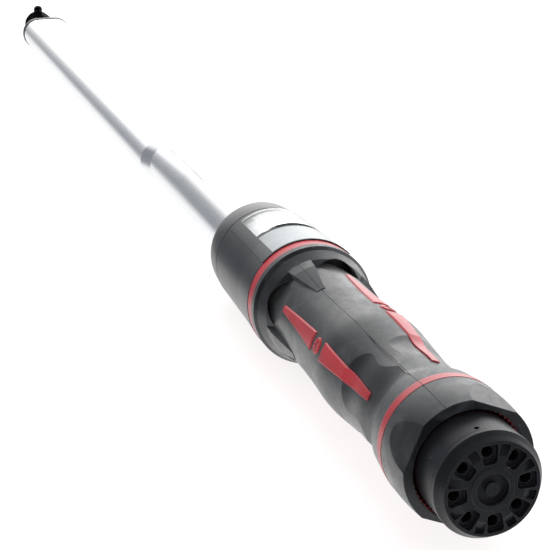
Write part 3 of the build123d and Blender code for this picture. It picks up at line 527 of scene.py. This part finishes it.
SEAM_REAR = station(12.5)
SEAM_FRONT = station(146.0)
parting_line = seam_tree()
for number, degrees in enumerate(PANEL_RIDGES, 1):
    turn = math.radians(degrees)
    seam = grow(
        "parting_line_%d" % number,
        parting_line,
        Grip=frame["nodes"]["grip_sleeve"],
        Core=frame["nodes"]["handle_core"],
        Away=(0.0, -math.sin(turn), math.cos(turn)),
        Rear=SEAM_REAR,
        Length=SEAM_FRONT - SEAM_REAR,
        Width=0.1 * MM,
        Finish=knob_nylon,
    )
    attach(seam, "handle")

# Scale, read at the window's middle: it moves forward as the knob sets a higher torque
SCALE_START = station(190.8)  # 60 N m lies here at rest
SCALE_STEPS = 24  # of 10 N m each
SCALE_STEP = LOAD_TRAVEL / SCALE_STEPS * MM
NUMBERED_STEPS = 4  # a number and a longer line at every fourth step
PRINT_R = SLEEVE_R + 0.01 * MM
NUMBERS_AT = math.radians(9.0)
graduations = ticks_tree()
for name, steps, sweep, line_mm in (
    ("fine_graduations", 1, 7.0, 0.09),
    ("main_graduations", NUMBERED_STEPS, 12.0, 0.13),
):
    marks = grow(
        name,
        graduations,
        First=SCALE_START - SCALE_STEPS * SCALE_STEP,
        Pitch=steps * SCALE_STEP,
        Count=SCALE_STEPS // steps + 1,
        Radius=PRINT_R,
        Start=math.radians(180 - 6.0),
        Sweep=math.radians(sweep),
        Line=line_mm * MM,
        Finish=scale_ink,
    )
    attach(marks, "nut")


def printed_number(value, place, size):
    """A number printed on the sleeve, bent round it, its foot towards the knob."""
    words = bpy.data.curves.new("scale_%d" % value, "FONT")
    words.body = str(value)
    words.size = size
    words.extrude = 0.01 * MM
    words.align_x = "CENTER"
    words.align_y = "CENTER"
    words.resolution_u = 3
    draft = bpy.data.objects.new(words.name, words)
    bpy.context.scene.collection.objects.link(draft)
    bpy.context.view_layer.update()
    evaluated = draft.evaluated_get(bpy.context.evaluated_depsgraph_get())
    mesh = bpy.data.meshes.new_from_object(evaluated)
    bpy.data.objects.remove(draft)
    shell = bmesh.new()
    shell.from_mesh(mesh)
    bmesh.ops.remove_doubles(shell, verts=shell.verts, dist=0.0005 * MM)
    bmesh.ops.recalc_face_normals(shell, faces=shell.faces)
    shell.to_mesh(mesh)
    shell.free()
    for corner in mesh.vertices:
        across, along, lift = corner.co
        turn = across / PRINT_R + NUMBERS_AT
        out = PRINT_R + lift
        corner.co = (place + along, -out * math.sin(turn), out * math.cos(turn))
    mesh.materials.clear()
    mesh.materials.append(scale_ink)
    mesh.name = "scale_%d" % value
    number = bpy.data.objects.new(mesh.name, mesh)
    bpy.context.scene.collection.objects.link(number)
    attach(number, "nut")


for row, value in enumerate(range(60, 301, 40)):
    printed_number(value, SCALE_START - NUMBERED_STEPS * row * SCALE_STEP, 2.1 * MM)

# Floor: the handle lies on its guard's rim and the oval tube's end
guard_foot = Vector((station(159.0), 0, -0.0220))
nose_foot = Vector((-0.004, 0, -0.0086))
fall = (nose_foot.z - guard_foot.z) / (nose_foot.x - guard_foot.x)


def floor_height(x):
    """Height of the tilted floor under a place along the handle."""
    return guard_foot.z + (x - guard_foot.x) * fall - FLOOR_GAP


BACK_TO_CAMERA = (-0.899, 0.287, 0.331)
BRIGHT_SIDE = (0.87, -0.44, 0.22)  # low, beyond the handle's right side
middle = Vector((station(200.0), 0, 0))


def room_light(owner, way, ahead_level, behind_level):
    """How bright the studio looks in a direction from the handle, as its gloss shows it.

    It is white ahead, brighter than white low beyond the handle's right side, grey at the sides and dark behind
    the camera. A dark wall on the left, seen above the paper's edge, is the soft stripe on the polished tube.
    """
    behind = add_node(
        owner, "ShaderNodeVectorMath", {"operation": "DOT_PRODUCT"}, in0=way, in1=BACK_TO_CAMERA
    )
    deep = add_node(
        owner,
        "ShaderNodeMapRange",
        SMOOTH,
        Value=behind.outputs["Value"],
        From_Min=-0.1,
        From_Max=0.55,
        To_Min=ahead_level,
        To_Max=behind_level,
    )
    # its sides and ceiling are greyer than what lies ahead, so that bare metal reads against white
    sides = add_node(
        owner,
        "ShaderNodeMapRange",
        SMOOTH,
        Value=behind.outputs["Value"],
        From_Min=-0.6,
        From_Max=-0.2,
        To_Min=1.0,
        To_Max=0.6,
    )
    walls = add_node(
        owner,
        "ShaderNodeMath",
        {"operation": "MULTIPLY"},
        in0=deep.outputs["Result"],
        in1=sides.outputs["Result"],
    )
    part = add_node(owner, "ShaderNodeSeparateXYZ", Vector=way)
    leftward = add_node(
        owner,
        "ShaderNodeMapRange",
        SMOOTH,
        Value=part.outputs["Y"],
        From_Min=0.1,
        From_Max=0.4,
    )
    steepness = add_node(
        owner,
        "ShaderNodeMath",
        {"operation": "DIVIDE"},
        in0=part.outputs["Z"],
        in1=part.outputs["Y"],
    )
    offset = add_node(
        owner,
        "ShaderNodeMath",
        {"operation": "SUBTRACT"},
        in0=steepness.outputs["Value"],
        in1=0.25,
    )
    slant = add_node(owner, "ShaderNodeMath", {"operation": "ABSOLUTE"}, in0=offset.outputs["Value"])
    band = add_node(
        owner,
        "ShaderNodeMapRange",
        SMOOTH,
        Value=slant.outputs["Value"],
        From_Min=0.4,
        From_Max=1.3,
        To_Min=1.0,
        To_Max=0.0,
    )
    wall = add_node(
        owner,
        "ShaderNodeMath",
        {"operation": "MULTIPLY"},
        in0=leftward.outputs["Result"],
        in1=band.outputs["Result"],
    )
    grey = add_node(
        owner, "ShaderNodeMapRange", Value=wall.outputs["Value"], To_Min=1.0, To_Max=0.4
    )
    beyond = add_node(
        owner, "ShaderNodeVectorMath", {"operation": "DOT_PRODUCT"}, in0=way, in1=BRIGHT_SIDE
    )
    bright = add_node(
        owner,
        "ShaderNodeMapRange",
        SMOOTH,
        Value=beyond.outputs["Value"],
        From_Min=0.72,
        From_Max=0.98,
        To_Min=1.0,
        To_Max=2.3,
    )
    shaded = add_node(
        owner,
        "ShaderNodeMath",
        {"operation": "MULTIPLY"},
        in0=walls.outputs["Value"],
        in1=grey.outputs["Result"],
    )
    return add_node(
        owner,
        "ShaderNodeMath",
        {"operation": "MULTIPLY"},
        in0=shaded.outputs["Value"],
        in1=bright.outputs["Result"],
    ).outputs["Value"]


def room_tint(owner, level):
    """The dark parts of the room are a little blue."""
    return add_node(
        owner,
        "ShaderNodeMix",
        BLEND,
        in0=level,
        in6=hex_colour("d6deec"),
        in7=hex_colour("ffffff"),
    ).outputs[2]


def studio_floor():
    """Pale paper sweep that keeps a faint shadow, and shows the gloss its own bright and dim parts."""
    material, place = new_material("pale_paper")
    away = add_node(
        material, "ShaderNodeVectorMath", {"operation": "SUBTRACT"}, in0=place, in1=middle
    )
    way = add_node(
        material, "ShaderNodeVectorMath", {"operation": "NORMALIZE"}, in0=away.outputs["Vector"]
    )
    far = room_light(material, way.outputs["Vector"], 1.0, 0.3)
    # close by, it is white under the handle, dim to the left of the tube, and dim behind the knob
    part = add_node(material, "ShaderNodeSeparateXYZ", Vector=place)
    beyond = add_node(
        material, "ShaderNodeMath", {"operation": "SUBTRACT"}, in0=part.outputs["X"], in1=station(300.0)
    )
    handle_side = add_node(
        material, "ShaderNodeMath", {"operation": "MINIMUM"}, in0=beyond.outputs["Value"], in1=0.0
    )
    paper_edge = add_node(
        material,
        "ShaderNodeMath",
        {"operation": "MULTIPLY_ADD"},
        in0=handle_side.outputs["Value"],
        in1=0.25,
        in2=part.outputs["Y"],
    )
    left = add_node(
        material,
        "ShaderNodeMapRange",
        SMOOTH,
        Value=paper_edge.outputs["Value"],
        From_Min=0.022,
        From_Max=0.055,
        To_Min=1.15,
        To_Max=0.4,
    )
    back = add_node(
        material,
        "ShaderNodeMapRange",
        SMOOTH,
        Value=part.outputs["X"],
        From_Min=station(-60.0),
        From_Max=station(15.0),
        To_Min=0.3,
        To_Max=1.0,
    )
    near = add_node(
        material,
        "ShaderNodeMath",
        {"operation": "MULTIPLY"},
        in0=left.outputs["Result"],
        in1=back.outputs["Result"],
    )
    sideways = add_node(material, "ShaderNodeMath", {"operation": "ABSOLUTE"}, in0=part.outputs["Y"])
    farness = add_node(
        material, "ShaderNodeMapRange", SMOOTH, Value=sideways.outputs["Value"], From_Min=0.08, From_Max=0.3
    )
    level = add_node(
        material,
        "ShaderNodeMix",
        in0=farness.outputs["Result"],
        in2=near.outputs["Value"],
        in3=far,
    ).outputs[0]
    mirrored = add_node(
        material,
        "ShaderNodeEmission",
        Color=room_tint(material, level),
        Strength=level,
    )
    paper = add_node(material, "ShaderNodeBsdfDiffuse", Color=hex_colour("e6e5e5"))
    shade = add_node(material, "ShaderNodeBsdfDiffuse", Color=hex_colour("a09a9a"))
    glow = add_node(material, "ShaderNodeEmission", Color=hex_colour("fffcfc"), Strength=0.84)
    seen = add_node(
        material, "ShaderNodeAddShader", in0=shade.outputs["BSDF"], in1=glow.outputs["Emission"]
    )
    path = add_node(material, "ShaderNodeLightPath")
    reflected = add_node(
        material,
        "ShaderNodeMixShader",
        Fac=path.outputs["Is Glossy Ray"],
        in1=paper.outputs["BSDF"],
        in2=mirrored.outputs["Emission"],
    )
    mix = add_node(
        material,
        "ShaderNodeMixShader",
        Fac=path.outputs["Is Camera Ray"],
        in1=reflected.outputs["Shader"],
        in2=seen.outputs["Shader"],
    )
    add_node(material, "ShaderNodeOutputMaterial", Surface=mix.outputs["Shader"])
    return material


FLOOR_HALF = 30.0
sheet = bpy.data.meshes.new("studio_floor")
sheet.from_pydata(
    [
        (-FLOOR_HALF, -FLOOR_HALF, floor_height(-FLOOR_HALF)),
        (FLOOR_HALF, -FLOOR_HALF, floor_height(FLOOR_HALF)),
        (FLOOR_HALF, FLOOR_HALF, floor_height(FLOOR_HALF)),
        (-FLOOR_HALF, FLOOR_HALF, floor_height(-FLOOR_HALF)),
    ],
    [],
    [(0, 1, 2, 3)],
)
floor = bpy.data.objects.new("studio_floor", sheet)
bpy.context.scene.collection.objects.link(floor)
floor.data.materials.append(studio_floor())

# Lamp: one wide soft box above and beyond the handle lifts its upper sides and leaves the near ones deep


def soft_box(name, place, target, size, power):
    """Area lamp that looks at the target and stays out of the gloss."""
    light = bpy.data.lights.new(name, "AREA")
    light.shape = "RECTANGLE"
    light.size, light.size_y = size
    light.energy = power
    thing = bpy.data.objects.new(name, light)
    thing.location = place
    thing.rotation_euler = (Vector(target) - Vector(place)).to_track_quat("-Z", "Y").to_euler()
    thing.visible_glossy = False  # the room gives the gloss
    bpy.context.scene.collection.objects.link(thing)


soft_box("overhead_box", middle + Vector((0.45, -0.30, 0.80)), middle, (1.0, 1.0), 6.5)


def studio_world():
    """The room itself: gloss sees its bright and dark sides, all else gets even white light."""
    world = bpy.data.worlds.new("white_room")
    bpy.context.scene.world = world
    world.use_nodes = True
    world.node_tree.nodes.clear()
    way = add_node(world, "ShaderNodeTexCoord").outputs["Generated"]
    level = room_light(world, way, 1.08, 0.06)
    room = add_node(world, "ShaderNodeBackground", Color=room_tint(world, level), Strength=level)
    even = add_node(world, "ShaderNodeBackground", Color=hex_colour("ffffff"), Strength=0.85)
    backdrop = add_node(world, "ShaderNodeBackground", Color=hex_colour("ffffff"), Strength=1.0)
    path = add_node(world, "ShaderNodeLightPath")
    mirrored = add_node(
        world,
        "ShaderNodeMixShader",
        Fac=path.outputs["Is Glossy Ray"],
        in1=even.outputs["Background"],
        in2=room.outputs["Background"],
    )
    mix = add_node(
        world,
        "ShaderNodeMixShader",
        Fac=path.outputs["Is Camera Ray"],
        in1=mirrored.outputs["Shader"],
        in2=backdrop.outputs["Background"],
    )
    add_node(world, "ShaderNodeOutputWorld", Surface=mix.outputs["Shader"])


studio_world()

# Camera, solved from the photograph's round rims and the tube's edges
camera_data = bpy.data.cameras.new("camera")
camera_data.sensor_fit = "HORIZONTAL"
camera_data.sensor_width = 36.0
camera_data.lens = 122.26
camera_data.clip_end = 100.0
camera = bpy.data.objects.new("camera", camera_data)
right = Vector((-0.30385, -0.95272, 0.0)).normalized()
forward = Vector((0.89913, -0.28674, -0.33066)).normalized()
upward = right.cross(forward)
turn = Matrix((right, upward, -forward)).transposed().to_4x4()
camera.matrix_world = Matrix.Translation((station(0.0) - 0.4339, 0.2008, 0.2282)) @ turn
bpy.context.scene.collection.objects.link(camera)
bpy.context.scene.camera = camera
bpy.context.scene.view_settings.view_transform = "Standard"
